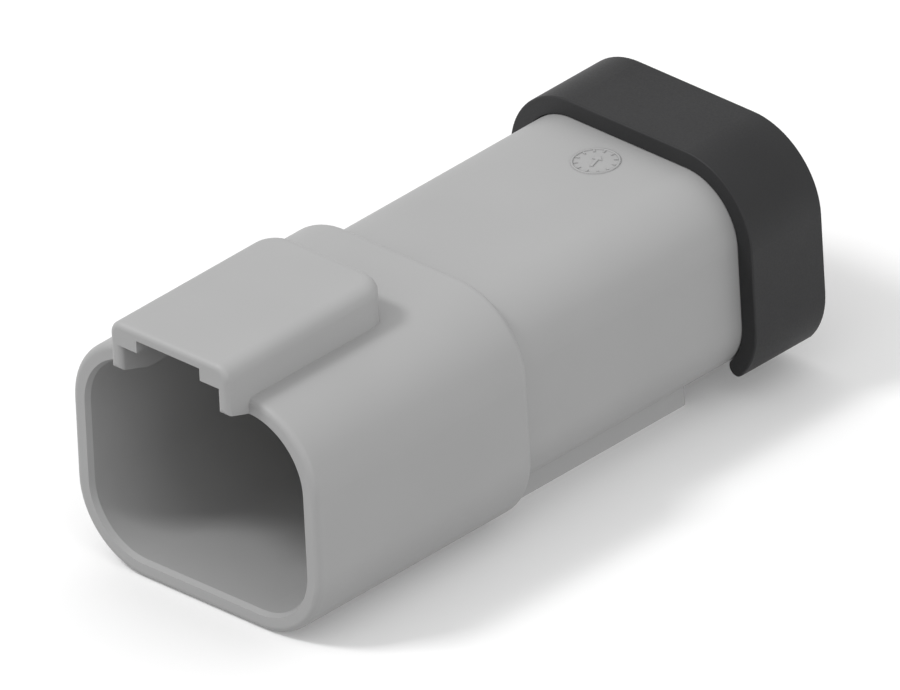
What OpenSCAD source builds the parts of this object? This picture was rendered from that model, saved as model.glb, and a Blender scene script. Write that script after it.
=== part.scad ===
// Sealed four-way connector receptacle: moulded housing with a latch ledge and clip rails,
// four pin contacts, a wedge lock, a wire seal and an end cap that clips over it.
// +Y runs from the mating end to the wire end, +X to the right seen from the mating end, +Z up.
// The origin is on the connector's axis, in the plane of the shroud's rim. Millimetres.

/* [Shroud] */
// Outside width of the mating shroud
shroud_w = 22.4; // [21.4:0.1:26]
// Outside height of the mating shroud
shroud_h = 17.8; // [17:0.1:21]
// Outside corner radius of the shroud
shroud_r = 5.9; // [4.8:0.1:6.8]
// Length of the shroud, rim to shoulder
shroud_len = 20.9; // [18.5:0.1:25]
// Wall thickness of the shroud
shroud_wall = 1.35; // [1:0.05:1.6]
// Thickness of the floor at the bottom of the shroud
floor_t = 1.3; // [1.1:0.1:2]
// Rounding of the rim's outer edge
rim_round = 0.5; // [0.2:0.05:0.7]
// Rounding of the shoulder's outer edge
shoulder_round = 0.8; // [0.3:0.05:1]
// How far the mouth widens on each side, to lead the plug in
lead_in = 0.2; // [0.1:0.05:0.35]
// Depth of the mouth's lead-in
lead_in_len = 0.4; // [0.3:0.1:1.5]

/* [Rear body] */
// Length of the rear body, shoulder to wire end
body_len = 26.5; // [25:0.1:31]
// How far the rear body is set in from the shroud, all round
body_step = 1.42; // [1.2:0.02:1.6]
// Wall thickness round the wire seal
body_wall = 1.35; // [1.1:0.05:1.6]
// Radius of the fillet between shoulder and rear body
neck_fillet = 0.35; // [0.2:0.05:0.5]

/* [Latch ledge] */
// Width of the ledge
ledge_w = 10.8; // [10.2:0.1:11.4]
// Height of the ledge's top above the shroud
ledge_h = 3.1; // [2.9:0.1:4]
// How far the ledge stands forward of the rim
ledge_front = 2; // [1.2:0.1:2.6]
// How far the ledge reaches back from the rim
ledge_back = 13.9; // [11:0.1:16]
// Rounding of the ledge's top edges, along the sides and round the rear
ledge_round = 1; // [0.5:0.1:1.1]
// Rounding of the ledge's front edges and of its legs' inner front edges
ledge_nose = 0.42; // [0.2:0.02:0.44]
// Radius of the ledge's rear corners, seen from above
ledge_corner = 2; // [1.2:0.1:2.6]
// How much the legs' bottoms rise from the rim to their front ends
leg_rise = 0.65; // [0.3:0.05:0.9]
// Rounding of the legs' lower front corners
ledge_toe = 0.5; // [0.2:0.05:0.7]
// Thickness of the ledge's roof
roof_t = 0.78; // [0.6:0.02:1]
// Thickness of the ledge's two side legs
leg_t = 1; // [0.9:0.02:1.2]
// Thickness of the ledge's closed rear wall
ledge_end_t = 1.3; // [0.9:0.1:1.8]
// Width of each latch shoulder beside the roof channel
catch_w = 1.5; // [1.2:0.05:1.7]
// Depth of the roof channel above the latch shoulders
catch_h = 0.94; // [0.7:0.02:1.1]
// Length of the latch shoulders
catch_len = 4.2; // [3:0.1:5]

/* [Clip rails] */
// Width over the two rails under the rear body
rail_w = 13.8; // [12.8:0.1:14.6]
// Length of the rails, from the shoulder
rail_len = 18.9; // [14:0.1:19.4]
// Width of the clip slot
slot_w = 10.6; // [9.6:0.1:11]
// Width of the opening between the rails' lips
slot_mouth = 7.8; // [6.5:0.1:8.6]
// Thickness of the rails' lips
lip_t = 0.6; // [0.5:0.05:0.7]
// Distance from the shoulder to the closed front end of the clip slot
slot_stop = 1.2; // [0.8:0.1:3]
// Radius of the rails' rear corners, seen from below
rail_corner = 0.4; // [0.2:0.05:0.8]

/* [Contacts] */
// Distance between contact axes, left to right
pitch_x = 7.2; // [6.6:0.1:7.6]
// Distance between contact axes, top to bottom
pitch_z = 6; // [5.8:0.1:6.3]
// Diameter of a contact's mating pin
pin_d = 1.57; // [1.2:0.01:1.7]
// Length of a mating pin in front of the wedge lock
pin_reach = 6.3; // [5:0.1:7.5]
// Diameter of the shank that the wedge lock steadies
shank_d = 1.9; // [1.8:0.05:2.1]
// Diameter of a contact's body
contact_d = 2.4; // [2.2:0.05:2.6]
// Diameter of the locking collar
collar_d = 3; // [2.9:0.02:3.1]
// Diameter of the rear flange
flange_d = 3.6; // [3.4:0.05:3.8]
// Outside diameter of the crimp barrel
crimp_d = 2.7; // [2.4:0.05:3]
// Bore of the crimp barrel
crimp_bore = 1.8; // [1.4:0.05:2]
// Length of the crimp barrel
crimp_len = 4.2; // [3.6:0.1:4.6]

/* [Wedge lock] */
// Thickness of the wedge lock's front plate
wedge_plate = 1.6; // [1.3:0.1:2]
// Thickness of the blade between the rows of fingers
wedge_blade = 1.1; // [0.8:0.05:1.2]
// Thickness of the wedge lock's snap legs
wedge_leg = 1; // [0.8:0.1:1.2]

/* [Wire seal] */
// Diameter of the necks that grip a wire
wire_neck_d = 1.9; // [1.5:0.05:2.2]
// Diameter of a wire hole between its necks
wire_hole_d = 2.7; // [2.5:0.05:3.1]
// Height of the seal's outer ribs
seal_rib = 0.4; // [0.2:0.05:0.5]

/* [End cap] */
// Length of the end cap
cap_len = 6.75; // [6:0.05:7.2]
// Wall thickness of the end cap's skirt
cap_wall = 1.25; // [1:0.05:1.4]
// Thickness of the end cap's back
cap_back = 1.65; // [1.3:0.05:2]
// Diameter of the wire openings in the end cap
cap_hole_d = 4.2; // [3.6:0.1:4.6]
// Angle below level at which the skirt ends in the lower corners
cap_wrap = 43; // [36:1:50]
// Rounding of the end cap's front edge
cap_round = 0.15; // [0.1:0.05:0.4]
// Rounding of the end cap's rear edge
cap_rear_round = 0.25; // [0.1:0.05:0.5]
// Height of the snap ridges on the rear body
snap_h = 0.35; // [0.2:0.05:0.4]

/* [Fits] */
// Clearance round the wedge lock and the contacts, each side
fit_gap = 0.1; // [0.06:0.01:0.14]
// Clearance between the end cap and the rear body, each side
cap_gap = 0.08; // [0.05:0.01:0.12]
// Clearance between the wire seal's ribs and its pocket, each side
seal_gap = 0.05; // [0.02:0.01:0.1]

/* [Hidden] */
$fn = 64;
cut = 1;                                       // how far a cut runs past the face that it opens

// Sections of the housing
cavity_w = shroud_w - 2 * shroud_wall;
cavity_h = shroud_h - 2 * shroud_wall;
cavity_r = shroud_r - shroud_wall;
body_w = shroud_w - 2 * body_step;
body_h = shroud_h - 2 * body_step;
body_r = shroud_r - body_step;
pocket_w = body_w - 2 * body_wall;
pocket_h = body_h - 2 * body_wall;
pocket_r = body_r - body_wall;
well_wall = 2.1;                               // wall beside the well that holds the wedge lock
well_w = body_w - 2 * well_wall;
well_h = body_h - 2 * well_wall;
well_r = 1.8;

// Places along the axis
floor_y = shroud_len - floor_t;
body_y = shroud_len + body_len;
finger_len = 5.2;                              // free length of a locking finger
collar_len = 1.4;
collar_y = floor_y + wedge_plate + 0.5;        // front of a contact's locking collar
hook_y = collar_y + collar_len + fit_gap;      // front of a finger's hook
hook_len = 1.2;
root_y = hook_y + finger_len - hook_len;       // bottom of the well, where the fingers start
guide_len = 2;                                 // length of the narrow bore behind the well
step_y = root_y + guide_len;                   // step that stops a contact's flange
flange_y = step_y + fit_gap;
flange_len = 1.2;
crimp_y = flange_y + flange_len;
contact_end = crimp_y + crimp_len;
tip_y = floor_y + fit_gap - pin_reach;
pocket_y = contact_end + 0.5;                  // floor of the wire seal's pocket
cap_y = body_y + cap_gap + cap_back - cap_len;
cap_end = cap_y + cap_len;
cap_out = cap_wall + cap_gap;                  // how far the cap stands out from the rear body
cap_w = body_w + 2 * cap_out;
cap_h = body_h + 2 * cap_out;
cap_r = body_r + cap_out;

// Bores of the contact cavities
guide_d = contact_d + 2 * fit_gap;
bore_d = flange_d + 2 * fit_gap;

// Ledge levels
shroud_top = shroud_h / 2;
ledge_top = shroud_top + ledge_h;
roof_z = ledge_top - roof_t;
catch_z = roof_z - catch_h;
channel_w = ledge_w - 2 * leg_t;
roof_w = channel_w - 2 * catch_w;
channel_end = ledge_back - ledge_end_t;
ledge_loop = 2 * (ledge_back + ledge_corner);  // length of the loops that the ledge's rounded edges
                                               // follow; each closes clear of the housing

// Locking fingers and wedge lock
finger_w = 2.4;
finger_t = 0.7;
finger_nose = 0.8;                             // how far a finger reaches past its hook
finger_z = wedge_blade / 2 + fit_gap;
hook_z = (pitch_z - contact_d) / 2 - fit_gap;
plate_y = floor_y + fit_gap;
plate_w = well_w - 2 * fit_gap;
plate_h = well_h - 2 * fit_gap;
plate_chamfer = 0.4;                           // lead-in of the plate's holes
blade_inset = 1.6;                             // the blade stops this far inside the plate's sides
leg_x = well_w / 2 - fit_gap - wedge_leg;
leg_h = 4.6;
leg_len = 3.9;
snap_y = plate_y + wedge_plate + 2;            // where the wedge lock's snap bumps are highest
snap_bump = 0.3;                               // how far a bump reaches into its slot
snap_top = 0.3;
snap_slot = 1.4;
pull_w = 2.6;
pull_h = 1.6;

// Snap ridges that hold the end cap
ridge_w = body_h / 3;
ridge_y = cap_y + 2.4;
ridge_len = 1.2;
cap_chamfer = 0.5;                             // widening of the cap's wire openings at the back

// Wire seal
seal_y = pocket_y + fit_gap;
seal_end = body_y;
neck_pitch = (seal_end - seal_y) / 4;
neck_len = 1.6;
rib_len = 1.2;

// Contacts
tip_r = pin_d / 4;                             // rounding of a pin's tip
shank_y = plate_y - 0.3;                       // a pin thickens just in front of the wedge lock
barrel_floor = 0.4;
sight_d = 0.6;
sight_y = crimp_y + 0.9;

// The four contact places, numbered as a wire harness maker does
places = [[-pitch_x / 2, pitch_z / 2], [pitch_x / 2, pitch_z / 2],
          [pitch_x / 2, -pitch_z / 2], [-pitch_x / 2, -pitch_z / 2]];

// ---- shared shapes ----

// Extrudes a section drawn in X and Z from one place on the axis to another
module run(y0, y1) {
    translate([0, y1, 0]) rotate([90, 0, 0]) linear_extrude(y1 - y0) children();
}

// Turns a profile of radius and distance about a contact's axis, from y0 backwards
module turned(y0) {
    translate([0, y0, 0]) rotate([-90, 0, 0]) rotate_extrude() children();
}

module rounded(w, h, r) {
    square([w - 2 * r, h], center = true);
    square([w, h - 2 * r], center = true);
    for (x = [-1, 1], y = [-1, 1])
        translate([x * (w / 2 - r), y * (h / 2 - r)]) circle(r);
}

// Sweeps a profile round a rounded rectangle that lies in X and Y. The profile's X is the
// distance outside the rectangle's wall and its Y is the height.
module swept(w, h, r) {
    for (side = [0:3]) {
        across = side % 2 == 0 ? w : h;
        out = side % 2 == 0 ? h : w;
        rotate([0, 0, 90 * side]) {
            translate([r - across / 2, out / 2, 0]) rotate([90, 0, 90])
                linear_extrude(across - 2 * r) children();
            translate([across / 2 - r, out / 2 - r, 0])
                rotate_extrude(angle = 90) translate([r, 0]) children();
        }
    }
}

// What is cut away to round a convex edge
module edge_profile(rad) {
    difference() {
        translate([-rad, -cut]) square(rad + cut);
        translate([-rad, rad]) circle(rad);
    }
}

// Rounds the front edge, or the rear edge, of a rounded block at the place y
module round_front(w, h, r, rad, y) {
    translate([0, y, 0]) rotate([-90, 0, 0]) swept(w, h, r) edge_profile(rad);
}

module round_rear(w, h, r, rad, y) {
    translate([0, y, 0]) rotate([90, 0, 0]) swept(w, h, r) edge_profile(rad);
}

// ---- housing ----

module shroud_block() {
    difference() {
        run(0, shroud_len) rounded(shroud_w, shroud_h, shroud_r);
        round_front(shroud_w, shroud_h, shroud_r, rim_round, 0);
        round_rear(shroud_w, shroud_h, shroud_r, shoulder_round, shroud_len);
    }
}

module rear_block() {
    run(shroud_len - floor_t / 2, body_y) rounded(body_w, body_h, body_r);
    translate([0, shroud_len, 0]) rotate([-90, 0, 0]) swept(body_w, body_h, body_r)
        difference() {
            square(neck_fillet);
            translate([neck_fillet, neck_fillet]) circle(neck_fillet);
        }
}

// The ledge is where its side view and its plan meet. Its top edges are rounded round the rear
// corners, and its front edges round the top corners.
module ledge_block() {
    low = shroud_top - shroud_wall + lead_in;
    difference() {
        intersection() {
            translate([-ledge_w / 2, 0, 0]) rotate([90, 0, 90]) linear_extrude(ledge_w)
                ledge_side(low);
            linear_extrude(ledge_top + cut) ledge_plan();
        }
        translate([0, ledge_back - ledge_loop / 2, ledge_top])
            swept(ledge_w, ledge_loop, ledge_corner) mirror([0, 1]) edge_profile(ledge_round);
        translate([0, 0, ledge_top - ledge_loop / 2])
            round_front(ledge_w, ledge_loop, ledge_round, ledge_nose, -ledge_front);
    }
}

// Side view of the ledge, drawn in Y and Z: the legs' bottoms rise from the rim to rounded toes
module ledge_side(low) {
    fall = atan(leg_rise / ledge_front);
    difference() {
        polygon([
            [-ledge_front, low + leg_rise], [0, low], [ledge_back, low],
            [ledge_back, ledge_top], [-ledge_front, ledge_top]
        ]);
        translate([-ledge_front, low + leg_rise]) toe_profile(ledge_toe, fall);
    }
}

// What is cut away to round a toe whose bottom falls to the rear at an angle
module toe_profile(rad, fall) {
    reach = rad * tan(45 - fall / 2);
    heel = reach * [cos(fall), -sin(fall)];
    difference() {
        polygon([
            [0, reach], [rad, reach], heel, heel - cut * [sin(fall), cos(fall)],
            [-cut, -cut], [-cut, reach]
        ]);
        translate([rad, reach]) circle(rad);
    }
}

module ledge_plan() {
    inner = ledge_w / 2 - ledge_corner;
    translate([-ledge_w / 2, -ledge_front])
        square([ledge_w, ledge_back + ledge_front - ledge_corner]);
    translate([-inner, -ledge_front]) square([2 * inner, ledge_back + ledge_front]);
    for (side = [-1, 1])
        translate([side * inner, ledge_back - ledge_corner]) circle(ledge_corner);
}

// The stepped channel that the plug's latch slides into, open to the cavity below
module latch_channel() {
    low = shroud_top - shroud_wall - cut;
    run(-ledge_front - cut, channel_end) {
        translate([-roof_w / 2, low]) square([roof_w, roof_z - low]);
        translate([-channel_w / 2, low]) square([channel_w, catch_z - low]);
    }
    run(catch_len - ledge_front, channel_end)
        translate([-channel_w / 2, low]) square([channel_w, roof_z - low]);
    // The legs' inner front edges
    for (side = [-1, 1])
        translate([side * channel_w / 2, -ledge_front, low]) scale([-side, 1, 1])
            linear_extrude(catch_z - low) edge_profile(ledge_nose);
}

// The rails reach forward past the shoulder's rounding and up into the rear body's wall
module rails() {
    rear = shroud_len + rail_len;
    straight = rail_w - 2 * rail_corner;
    translate([0, 0, -shroud_h / 2]) linear_extrude(body_step + body_wall / 2) {
        translate([-rail_w / 2, shroud_len - shoulder_round])
            square([rail_w, rail_len + shoulder_round - rail_corner]);
        translate([-straight / 2, shroud_len]) square([straight, rail_len]);
        for (side = [-1, 1])
            translate([side * straight / 2, rear - rail_corner]) circle(rail_corner);
    }
}

// The slot between the rails' lips and the rear body's underside, open to the rear
module clip_slot() {
    rear = shroud_len + rail_len + cut;
    front = shroud_len + slot_stop;
    lip_z = lip_t - shroud_h / 2;
    run(front, rear) {
        translate([-slot_w / 2, lip_z]) square([slot_w, body_step - lip_t]);
        translate([-slot_mouth / 2, lip_z - lip_t - cut]) square([slot_mouth, cut + body_step]);
    }
}

module contact_cavities() {
    for (p = places) translate([p[0], 0, p[1]]) {
        turned(root_y - cut) square([guide_d / 2, guide_len + 2 * cut]);
        turned(step_y) square([bore_d / 2, pocket_y - step_y + cut]);
    }
}

// A finger is drawn from the side, in Y and Z, with its hook towards the contact
module finger_side() {
    nose_y = hook_y - finger_nose;
    back_z = finger_z + finger_t;
    polygon([
        [root_y + cut, finger_z],
        [nose_y, finger_z],
        [nose_y, finger_z + finger_t / 2],
        [hook_y - finger_nose / 2, back_z],
        [hook_y, back_z],
        [hook_y, hook_z],
        [hook_y + hook_len / 2, hook_z],
        [hook_y + hook_len, back_z],
        [root_y + cut, back_z]
    ]);
}

module fingers() {
    for (side = [-1, 1], row = [-1, 1])
        scale([1, 1, row])
            translate([side * pitch_x / 2 - finger_w / 2, 0, 0])
                rotate([90, 0, 90]) linear_extrude(finger_w) finger_side();
}

// Slots in the well's side walls that the wedge lock's bumps click into
module snap_slots() {
    run(snap_y - snap_slot / 2, snap_y + snap_slot / 2)
        square([well_w + 2 * (snap_bump + fit_gap), leg_h + 2 * fit_gap], center = true);
}

// Ridges on both sides that the end cap snaps over, steep towards the front
module snap_ridge() {
    foot = body_wall / 4;
    for (side = [-1, 1])
        scale([side, 1, 1])
            translate([body_w / 2, ridge_y, -ridge_w / 2]) linear_extrude(ridge_w)
                polygon([
                    [-foot, 0], [snap_h, 0], [snap_h, ridge_len / 3],
                    [0, ridge_len], [-foot, ridge_len]
                ]);
}

module housing() {
    color("#a6a8a9") {
        difference() {
            union() {
                shroud_block();
                rear_block();
                ledge_block();
                rails();
                snap_ridge();
            }
            run(-cut, floor_y) rounded(cavity_w, cavity_h, cavity_r);
            rotate([-90, 0, 0]) swept(cavity_w, cavity_h, cavity_r)
                polygon([
                    [-cut, -cut], [lead_in, -cut], [lead_in, 0],
                    [0, lead_in_len], [-cut, lead_in_len]
                ]);
            latch_channel();
            run(floor_y - cut, root_y) rounded(well_w, well_h, well_r);
            snap_slots();
            contact_cavities();
            run(pocket_y, body_y + cut) rounded(pocket_w, pocket_h, pocket_r);
            clip_slot();
        }
        fingers();
    }
}

// ---- pieces that fit in and on the housing ----

// Plate across the well, blade between the rows of fingers, and two legs with snap bumps
module wedge_lock() {
    root = plate_y + wedge_plate / 2;
    color("#5f6163") difference() {
        union() {
            run(plate_y, plate_y + wedge_plate) rounded(plate_w, plate_h, well_r - fit_gap);
            translate([blade_inset - plate_w / 2, root, -wedge_blade / 2])
                cube([plate_w - 2 * blade_inset, root_y - fit_gap - root, wedge_blade]);
            for (side = [-1, 1])
                scale([side, 1, 1]) wedge_side(root);
        }
        for (p = places)
            translate([p[0], 0, p[1]]) plate_hole();
        // Pull slot for the tool that lifts the wedge lock out
        run(plate_y - cut, root) rounded(pull_w, pull_h, 0.3);
    }
}

module wedge_side(root) {
    bump_x = leg_x + wedge_leg + fit_gap + snap_bump;
    inner_x = leg_x + wedge_leg / 2;
    translate([leg_x, root, -leg_h / 2]) cube([wedge_leg, wedge_plate / 2 + leg_len, leg_h]);
    translate([0, 0, -leg_h / 2]) linear_extrude(leg_h)
        polygon([
            [inner_x, snap_y - 2 * snap_top], [bump_x, snap_y - snap_top],
            [bump_x, snap_y], [inner_x, snap_y + 4 * snap_top]
        ]);
}

module plate_hole() {
    hole_r = shank_d / 2 + fit_gap;
    mouth_r = hole_r + plate_chamfer;
    turned(plate_y)
        polygon([
            [0, -cut], [mouth_r, -cut], [mouth_r, 0], [hole_r, plate_chamfer],
            [hole_r, wedge_plate + cut], [0, wedge_plate + cut]
        ]);
}

// One turned pin contact, tip forwards, crimp barrel to the rear
module contact(p) {
    color("#c9c3b4") translate([p[0], 0, p[1]]) difference() {
        union() {
            pin();
            turned(shank_y) square([shank_d / 2, collar_y - shank_y]);
            turned(collar_y) square([collar_d / 2, collar_len]);
            turned(collar_y) square([contact_d / 2, crimp_y - collar_y]);
            turned(flange_y) square([flange_d / 2, flange_len]);
            turned(crimp_y) square([crimp_d / 2, crimp_len]);
        }
        turned(crimp_y + barrel_floor) square([crimp_bore / 2, crimp_len + cut]);
        // Sight hole that shows the wire is home
        translate([0, sight_y, 0]) cylinder(d = sight_d, h = crimp_d);
    }
}

module pin() {
    pin_r = pin_d / 2;
    turned(tip_y) union() {
        translate([0, tip_r]) square([pin_r, shank_y - tip_y - tip_r]);
        square([pin_r - tip_r, tip_r]);
        intersection() {
            translate([pin_r - tip_r, tip_r]) circle(tip_r);
            square(pin_r);
        }
    }
}

// Three ribs press on the pocket, and three necks on each wire between wider bores
module wire_seal() {
    w = pocket_w - 2 * seal_gap;
    h = pocket_h - 2 * seal_gap;
    r = pocket_r - seal_gap;
    length = seal_end - seal_y;
    wide = neck_pitch - neck_len;
    color("#a4543a") difference() {
        union() {
            run(seal_y, seal_end) rounded(w - 2 * seal_rib, h - 2 * seal_rib, r - seal_rib);
            for (k = [1:3])
                translate([0, seal_y + neck_pitch * k, 0])
                    run(-rib_len / 2, rib_len / 2) rounded(w, h, r);
        }
        for (p = places) translate([p[0], 0, p[1]]) {
            turned(seal_y - cut) square([wire_neck_d / 2, length + 2 * cut]);
            turned(seal_y - cut) square([wire_hole_d / 2, cut + neck_pitch - neck_len / 2]);
            for (k = [1:2])
                turned(seal_y + neck_pitch * k + neck_len / 2) square([wire_hole_d / 2, wide]);
            turned(seal_y + neck_pitch * 3 + neck_len / 2)
                square([wire_hole_d / 2, wide + neck_len / 2 + cut]);
        }
    }
}

// Outline of the end cap's skirt, in X and Z: it wraps the top and both sides, and ends in the
// lower corners with a full round
module skirt() {
    across = cap_w / 2 - cap_r;
    down = cap_h / 2 - cap_r;
    far = 2 * cap_r;
    edge = cap_r - cap_wall / 2;
    difference() {
        rounded(cap_w, cap_h, cap_r);
        polygon([
            [across, -down], [across + far * cos(cap_wrap), -down - far * sin(cap_wrap)],
            [-across - far * cos(cap_wrap), -down - far * sin(cap_wrap)], [-across, -down]
        ]);
    }
    for (side = [-1, 1])
        translate([side * (across + edge * cos(cap_wrap)), -down - edge * sin(cap_wrap)])
            circle(cap_wall / 2);
}

// The back is level with the rear body underneath, so a clip can slide past it into its slot
module end_cap() {
    hole_r = cap_hole_d / 2;
    mouth_r = hole_r + cap_chamfer;
    color("#2d2d2e") difference() {
        union() {
            run(cap_y, cap_end) skirt();
            run(cap_end - cap_back, cap_end) rounded(body_w, body_h, body_r);
        }
        round_front(cap_w, cap_h, cap_r, cap_round, cap_y);
        round_rear(cap_w, cap_h, cap_r, cap_rear_round, cap_end);
        run(cap_y - cut, body_y + cap_gap)
            rounded(body_w + 2 * cap_gap, body_h + 2 * cap_gap, body_r + cap_gap);
        // Grooves for the snap ridges
        run(ridge_y - cap_gap, ridge_y + ridge_len + cap_gap)
            square([body_w + 2 * (snap_h + cap_gap), ridge_w + 2 * cap_gap], center = true);
        for (p = places) translate([p[0], 0, p[1]])
            turned(cap_end)
                polygon([
                    [0, -cap_back - cut], [hole_r, -cap_back - cut], [hole_r, -cap_chamfer],
                    [mouth_r, 0], [mouth_r, cut], [0, cut]
                ]);
    }
}

housing();
wedge_lock();
contact(places[0]);  // contact_1
contact(places[1]);  // contact_2
contact(places[2]);  // contact_3
contact(places[3]);  // contact_4
wire_seal();
end_cap();
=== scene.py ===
import math
import bmesh
import bpy
from mathutils import Matrix, Vector
from mathutils.bvhtree import BVHTree


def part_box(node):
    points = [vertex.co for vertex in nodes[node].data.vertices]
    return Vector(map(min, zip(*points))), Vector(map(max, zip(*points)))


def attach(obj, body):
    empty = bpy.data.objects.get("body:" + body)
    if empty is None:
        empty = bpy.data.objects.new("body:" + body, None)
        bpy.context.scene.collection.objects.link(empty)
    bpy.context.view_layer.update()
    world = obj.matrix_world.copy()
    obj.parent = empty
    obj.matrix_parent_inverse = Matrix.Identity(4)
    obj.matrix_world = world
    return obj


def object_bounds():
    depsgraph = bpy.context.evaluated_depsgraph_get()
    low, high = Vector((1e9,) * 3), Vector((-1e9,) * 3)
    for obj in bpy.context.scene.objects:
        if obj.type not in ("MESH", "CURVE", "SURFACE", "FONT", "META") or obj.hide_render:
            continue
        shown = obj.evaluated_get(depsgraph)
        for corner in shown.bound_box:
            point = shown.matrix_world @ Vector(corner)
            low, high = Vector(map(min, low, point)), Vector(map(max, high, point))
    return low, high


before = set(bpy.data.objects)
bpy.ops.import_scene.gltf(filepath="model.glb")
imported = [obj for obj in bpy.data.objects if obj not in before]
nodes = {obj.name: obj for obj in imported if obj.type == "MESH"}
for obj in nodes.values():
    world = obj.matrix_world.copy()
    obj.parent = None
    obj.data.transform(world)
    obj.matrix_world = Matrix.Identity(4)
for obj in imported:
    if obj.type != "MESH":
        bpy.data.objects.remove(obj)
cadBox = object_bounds()
mm = 0.001
print("frame loaded,", len(nodes), "CAD nodes")


def hexColour(code):
    # sRGB hex to the linear values that a shader takes
    parts = [int(code[i:i + 2], 16) / 255 for i in (1, 3, 5)]
    return [p / 12.92 if p <= 0.04045 else ((p + 0.055) / 1.055) ** 2.4 for p in parts] + [1]


def addNode(tree, kind, settings={}, values={}, links={}):
    node = tree.nodes.new(kind)
    for name, value in settings.items():
        setattr(node, name, value)
    for name, value in values.items():
        node.inputs[name].default_value = value
    for name, socket in links.items():
        tree.links.new(socket, node.inputs[name])
    return node


def perMetre(size):
    return 1 / (size * mm)      # pattern scale for a feature of that many millimetres


def newMaterial(name, shaderValues):
    material = bpy.data.materials.new(name)
    material.use_nodes = True
    tree = material.node_tree
    tree.nodes.clear()
    shader = addNode(tree, "ShaderNodeBsdfPrincipled", values=shaderValues)
    addNode(tree, "ShaderNodeOutputMaterial", links={"Surface": shader.outputs["BSDF"]})
    place = addNode(tree, "ShaderNodeTexCoord").outputs["Object"]
    return material, tree, shader, place


noiseMiddle = (0.35, 0.65)      # where a noise texture's values mostly lie
noiseSpan = (0.3, 0.7)          # and nearly all of them
glossDrift = 0.05               # how far the grain moves a moulded surface's roughness


# A moulded surface: colour that drifts a little where the melt flowed, and the fine satin
# grain that a spark-eroded mould leaves, in its gloss and its relief
def mouldedMaterial(name, look):
    material, tree, shader, place = newMaterial(name, look["shader"])
    flow = addNode(tree, "ShaderNodeTexNoise",
                   values={"Scale": perMetre(look["flowSize"]), "Detail": 2.0},
                   links={"Vector": place})
    tone = addNode(tree, "ShaderNodeValToRGB", links={"Fac": flow.outputs["Fac"]})
    for stop, position, colour in zip(tone.color_ramp.elements, noiseMiddle, look["colours"]):
        stop.position = position
        stop.color = hexColour(colour)
    grain = addNode(tree, "ShaderNodeTexNoise",
                    values={"Scale": perMetre(look["grainSize"]), "Detail": 3.0},
                    links={"Vector": place})
    gloss = addNode(tree, "ShaderNodeMapRange",
                    values={"From Min": noiseSpan[0], "From Max": noiseSpan[1],
                            "To Min": look["roughness"] - glossDrift,
                            "To Max": look["roughness"] + glossDrift},
                    links={"Value": grain.outputs["Fac"]})
    relief = addNode(tree, "ShaderNodeBump",
                     values={"Strength": look["relief"], "Distance": look["grainDepth"] * mm},
                     links={"Height": grain.outputs["Fac"]})
    tree.links.new(tone.outputs["Color"], shader.inputs["Base Color"])
    tree.links.new(gloss.outputs["Result"], shader.inputs["Roughness"])
    tree.links.new(relief.outputs["Normal"], shader.inputs["Normal"])
    return material


# Glass-filled nylon, grey: even and satin. The grain is drawn at 0.12 mm, coarser than the
# real 0.03 mm, so that it shows at all
greyNylon = {
    "colours": ("#a6a6a6", "#a8a8a8"),
    "flowSize": 9,
    "grainSize": 0.12,
    "grainDepth": 0.006,
    "relief": 0.25,
    "roughness": 0.5,
    "shader": {"IOR": 1.53, "Specular IOR Level": 0.4},
}
# The same resin with carbon black, a little duller
blackNylon = {
    "colours": ("#252526", "#29292a"),
    "flowSize": 7,
    "grainSize": 0.12,
    "grainDepth": 0.006,
    "relief": 0.25,
    "roughness": 0.55,
    "shader": {"IOR": 1.53, "Specular IOR Level": 0.3},
}
# Thermoplastic polyester, slate grey, moulded smoother than the housing
slatePolyester = {
    "colours": ("#5c5e60", "#626466"),
    "flowSize": 5,
    "grainSize": 0.1,
    "grainDepth": 0.004,
    "relief": 0.2,
    "roughness": 0.42,
    "shader": {"IOR": 1.57, "Specular IOR Level": 0.45},
}
# Silicone rubber with a dusty bloom, compression moulded: matt, with a soft sheen at a slant
siliconeRubber = {
    "colours": ("#9b4c36", "#a5533b"),
    "flowSize": 3,
    "grainSize": 0.2,
    "grainDepth": 0.008,
    "relief": 0.35,
    "roughness": 0.72,
    "shader": {"IOR": 1.41, "Specular IOR Level": 0.35, "Sheen Weight": 0.15,
               "Sheen Roughness": 0.5},
}
# Turned copper alloy, nickel plated: warm grey metal with the lathe's rings round each pin
nickelPlate = {
    "colour": "#cfc9bd",
    "ringPitch": 0.09,          # real rings are about 0.03 mm apart
    "ringDepth": 0.0015,
    "relief": 0.5,
    "roughness": 0.2,           # in the rings' valleys, and the most on their crests
    "roughWorst": 0.32,
    "shader": {"Metallic": 1.0},
}


def turnedMetal(name, look):
    material, tree, shader, place = newMaterial(name, look["shader"])
    shader.inputs["Base Color"].default_value = hexColour(look["colour"])
    rings = addNode(tree, "ShaderNodeTexWave",
                    settings={"wave_type": "BANDS", "bands_direction": "Y"},
                    # a wave texture repeats 10/pi times in a unit at scale 1
                    values={"Scale": math.pi / 10 * perMetre(look["ringPitch"]),
                            "Distortion": 0.6, "Detail": 1.0},
                    links={"Vector": place})
    gloss = addNode(tree, "ShaderNodeMapRange",
                    values={"To Min": look["roughness"], "To Max": look["roughWorst"]},
                    links={"Value": rings.outputs["Fac"]})
    relief = addNode(tree, "ShaderNodeBump",
                     values={"Strength": look["relief"], "Distance": look["ringDepth"] * mm},
                     links={"Height": rings.outputs["Fac"]})
    tree.links.new(gloss.outputs["Result"], shader.inputs["Roughness"])
    tree.links.new(relief.outputs["Normal"], shader.inputs["Normal"])
    return material


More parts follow.
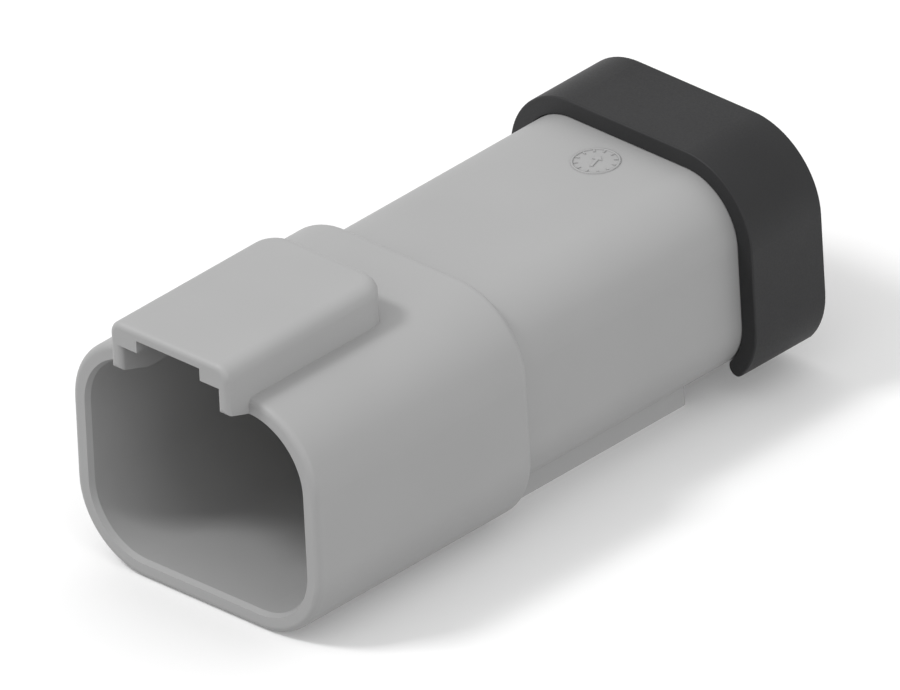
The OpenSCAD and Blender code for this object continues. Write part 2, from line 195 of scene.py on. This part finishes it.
housingMaterial = mouldedMaterial("greyNylonMoulded", greyNylon)
finishes = {
    "housing": housingMaterial,
    "end_cap": mouldedMaterial("blackNylonMoulded", blackNylon),
    "wedge_lock": mouldedMaterial("slatePolyesterMoulded", slatePolyester),
    "wire_seal": mouldedMaterial("siliconeRubberMoulded", siliconeRubber),
}
pinMaterial = turnedMetal("nickelPlatedTurned", nickelPlate)
for name, node in nodes.items():
    node.data.materials.clear()
    node.data.materials.append(finishes.get(name, pinMaterial))
print("materials on every CAD node")

# A plain date dial on top of the rear body: a raised ring with ticks round a loose arrow
dial = {
    "radius": 1.62,
    "ringSides": 72,
    "ringWidth": 0.14,
    "rise": 0.08,
    "sunk": 0.05,               # how far it is rooted in the wall below
    "ticks": 12,
    "tickLength": 0.26,
    "tickWidth": 0.11,
    "arrowLength": 1.5,
    "arrowWidth": 0.7,
    "headLength": 0.55,
    "shaftWidth": 0.2,
    "fromCap": 3.1,             # its centre, in front of the end cap
    "turn": 18,                 # degrees
}


def arrowMesh(look):
    half, wide, thin = look["arrowLength"] / 2, look["arrowWidth"] / 2, look["shaftWidth"] / 2
    neck = half - look["headLength"]
    outline = [(-thin, -half), (thin, -half), (thin, neck), (wide, neck), (0, half),
               (-wide, neck), (-thin, neck)]
    count = len(outline)
    low = [(x * mm, y * mm, -look["sunk"] * mm) for x, y in outline]
    high = [(x * mm, y * mm, look["rise"] * mm) for x, y in outline]
    faces = [tuple(reversed(range(count))), tuple(range(count, 2 * count))]
    faces += [(i, (i + 1) % count, (i + 1) % count + count, i + count) for i in range(count)]
    mesh = bpy.data.meshes.new("date_dial_arrow")
    mesh.from_pydata(low + high, [], faces)
    return mesh


def dialTree(look):
    tree = bpy.data.node_groups.new("dateDial", "GeometryNodeTree")
    face = tree.interface
    face.new_socket("Geometry", in_out="INPUT", socket_type="NodeSocketGeometry")
    for name in ("Radius", "Ring Width", "Height", "Tick Length", "Tick Width"):
        face.new_socket(name, in_out="INPUT", socket_type="NodeSocketFloat")
    face.new_socket("Ticks", in_out="INPUT", socket_type="NodeSocketInt")
    face.new_socket("Material", in_out="INPUT", socket_type="NodeSocketMaterial")
    face.new_socket("Geometry", in_out="OUTPUT", socket_type="NodeSocketGeometry")
    given = addNode(tree, "NodeGroupInput").outputs
    # ring
    path = addNode(tree, "GeometryNodeCurvePrimitiveCircle",
                   values={"Resolution": look["ringSides"]}, links={"Radius": given["Radius"]})
    section = addNode(tree, "GeometryNodeCurvePrimitiveQuadrilateral",
                      links={"Width": given["Ring Width"], "Height": given["Height"]})
    ring = addNode(tree, "GeometryNodeCurveToMesh",
                   links={"Curve": path.outputs["Curve"],
                          "Profile Curve": section.outputs["Curve"]})
    # ticks, just inside the ring and pointing at its centre
    inset = addNode(tree, "ShaderNodeMath", settings={"operation": "SUBTRACT"},
                    links={0: given["Radius"], 1: given["Tick Length"]})
    spots = addNode(tree, "GeometryNodeMeshCircle",
                    links={"Vertices": given["Ticks"], "Radius": inset.outputs[0]})
    size = addNode(tree, "ShaderNodeCombineXYZ",
                   links={"X": given["Tick Length"], "Y": given["Tick Width"],
                          "Z": given["Height"]})
    tick = addNode(tree, "GeometryNodeMeshCube", links={"Size": size.outputs[0]})
    where = addNode(tree, "GeometryNodeInputPosition")
    aim = addNode(tree, "FunctionNodeAlignRotationToVector", settings={"axis": "X"},
                  links={"Vector": where.outputs[0]})
    ticks = addNode(tree, "GeometryNodeInstanceOnPoints",
                    links={"Points": spots.outputs["Mesh"], "Instance": tick.outputs["Mesh"],
                           "Rotation": aim.outputs["Rotation"]})
    solidTicks = addNode(tree, "GeometryNodeRealizeInstances",
                         links={"Geometry": ticks.outputs["Instances"]})
    both = addNode(tree, "GeometryNodeJoinGeometry")
    for made in (solidTicks.outputs[0], ring.outputs["Mesh"]):
        tree.links.new(made, both.inputs["Geometry"])
    # ring and ticks stand as high above the wall as the arrow does
    lift = addNode(tree, "GeometryNodeTransform",
                   values={"Translation": (0, 0, (look["rise"] - look["sunk"]) / 2 * mm)},
                   links={"Geometry": both.outputs[0]})
    allOfIt = addNode(tree, "GeometryNodeJoinGeometry")
    for made in (given["Geometry"], lift.outputs[0]):
        tree.links.new(made, allOfIt.inputs["Geometry"])
    painted = addNode(tree, "GeometryNodeSetMaterial",
                      links={"Geometry": allOfIt.outputs[0], "Material": given["Material"]})
    addNode(tree, "NodeGroupOutput", links={"Geometry": painted.outputs[0]})
    return tree


def makeDial(look, material):
    maker = bpy.data.objects.new("dialMaker", arrowMesh(look))
    bpy.context.collection.objects.link(maker)
    modifier = maker.modifiers.new("dateDial", "NODES")
    modifier.node_group = dialTree(look)
    wanted = {
        "Radius": look["radius"] * mm,
        "Ring Width": look["ringWidth"] * mm,
        "Height": (look["rise"] + look["sunk"]) * mm,
        "Tick Length": look["tickLength"] * mm,
        "Tick Width": look["tickWidth"] * mm,
        "Ticks": look["ticks"],
        "Material": material,
    }
    for item in modifier.node_group.interface.items_tree:
        if item.in_out == "INPUT" and item.name in wanted:
            modifier[item.identifier] = wanted[item.name]
    evaluated = maker.evaluated_get(bpy.context.evaluated_depsgraph_get())
    mesh = bpy.data.meshes.new_from_object(evaluated)
    bpy.data.objects.remove(maker)
    # the rear body's top, found where the dial stands
    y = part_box("end_cap")[0].y - look["fromCap"] * mm
    body = nodes["housing"].data
    tree = BVHTree.FromPolygons([v.co for v in body.vertices], [p.vertices for p in body.polygons])
    top = tree.ray_cast(Vector((0, y, cadBox[1].z)), Vector((0, 0, -1)))[0]
    mesh.transform(Matrix.Translation(top) @ Matrix.Rotation(math.radians(look["turn"]), 4, "Z"))
    form = bmesh.new()
    form.from_mesh(mesh)
    bmesh.ops.recalc_face_normals(form, faces=form.faces)
    form.to_mesh(mesh)
    form.free()
    piece = bpy.data.objects.new("date_dial", mesh)
    bpy.context.collection.objects.link(piece)
    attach(piece, "root")


makeDial(dial, housingMaterial)
print("date dial made")

studio = {
    "floorColour": "#ffffff",
    "floorSize": 2.4,           # metres
    "skyAbove": 0.82,           # brightness of the even light from above and from below
    "skyBelow": 0.44,
    "horizonBlend": 0.15,       # half height of the blend between the two, as a sine
    "softboxes": {              # azimuth and elevation in degrees, as the camera's, then size
        "keySoftbox": (-35, 53, 0.12, 0.38),        # in metres and brightness on the part
        "sideSoftbox": (80, 14, 0.30, 0.16),
    },
    "softboxDistance": 0.6,
}
view = {
    "azimuth": 45,
    "elevation": 30,
    "roll": -3.04,
    "width": 0.060,             # metres across the picture
    "aimRight": 0.01694,        # from the origin to the picture's centre
    "aimUp": 0.009575,
    "distance": 0.4,
}


def fromAngles(azimuth, elevation):
    a, e = math.radians(azimuth), math.radians(elevation)
    return Vector((math.sin(a) * math.cos(e), -math.cos(a) * math.cos(e), math.sin(e)))


def makeFloor(look):
    half = look["floorSize"] / 2
    z = cadBox[0].z
    mesh = bpy.data.meshes.new("studioFloor")
    mesh.from_pydata([(-half, -half, z), (half, -half, z), (half, half, z), (-half, half, z)],
                     [], [(0, 1, 2, 3)])
    floor = bpy.data.objects.new("studioFloor", mesh)
    bpy.context.collection.objects.link(floor)
    paper = newMaterial("matPaper", {
        "Base Color": hexColour(look["floorColour"]), "Roughness": 0.9,
        "Specular IOR Level": 0.1})[0]
    mesh.materials.append(paper)
    floor.visible_diffuse = False       # the even light from below stands for what it throws back


def makeLights(look):
    world = bpy.data.worlds.new("softSky")
    world.use_nodes = True
    tree = world.node_tree
    tree.nodes.clear()
    way = addNode(tree, "ShaderNodeTexCoord")
    height = addNode(tree, "ShaderNodeSeparateXYZ", links={"Vector": way.outputs["Generated"]})
    strength = addNode(tree, "ShaderNodeMapRange",
                       values={"From Min": -look["horizonBlend"], "From Max": look["horizonBlend"],
                               "To Min": look["skyBelow"], "To Max": look["skyAbove"]},
                       links={"Value": height.outputs["Z"]})
    sky = addNode(tree, "ShaderNodeBackground", values={"Color": (1, 1, 1, 1)},
                  links={"Strength": strength.outputs["Result"]})
    addNode(tree, "ShaderNodeOutputWorld", links={"Surface": sky.outputs["Background"]})
    bpy.context.scene.world = world
    reach = look["softboxDistance"]
    for name, (azimuth, elevation, size, brightness) in look["softboxes"].items():
        lamp = bpy.data.lights.new(name, "AREA")
        lamp.size = size
        lamp.energy = brightness * math.pi ** 2 * reach ** 2
        back = fromAngles(azimuth, elevation)
        box = bpy.data.objects.new(name, lamp)
        box.location = (cadBox[0] + cadBox[1]) / 2 + back * reach
        box.rotation_mode = "QUATERNION"
        box.rotation_quaternion = back.to_track_quat("Z", "Y")
        bpy.context.collection.objects.link(box)


def makeCamera(look):
    lens = bpy.data.cameras.new("camera")
    lens.type = "ORTHO"
    lens.ortho_scale = look["width"]
    camera = bpy.data.objects.new("camera", lens)
    back = fromAngles(look["azimuth"], look["elevation"])
    turn = back.to_track_quat("Z", "Y").to_matrix() @ Matrix.Rotation(
        math.radians(look["roll"]), 3, "Z")
    camera.matrix_world = Matrix.Translation(
        turn @ Vector((look["aimRight"], look["aimUp"], look["distance"]))) @ turn.to_4x4()
    bpy.context.collection.objects.link(camera)
    bpy.context.scene.camera = camera
    print("camera right", [round(v, 4) for v in turn.col[0]],
          "up", [round(v, 4) for v in turn.col[1]])


makeFloor(studio)
makeLights(studio)
makeCamera(view)
bpy.context.scene.view_settings.view_transform = "Standard"
print("floor, light and camera ready")

bpy.context.view_layer.update()
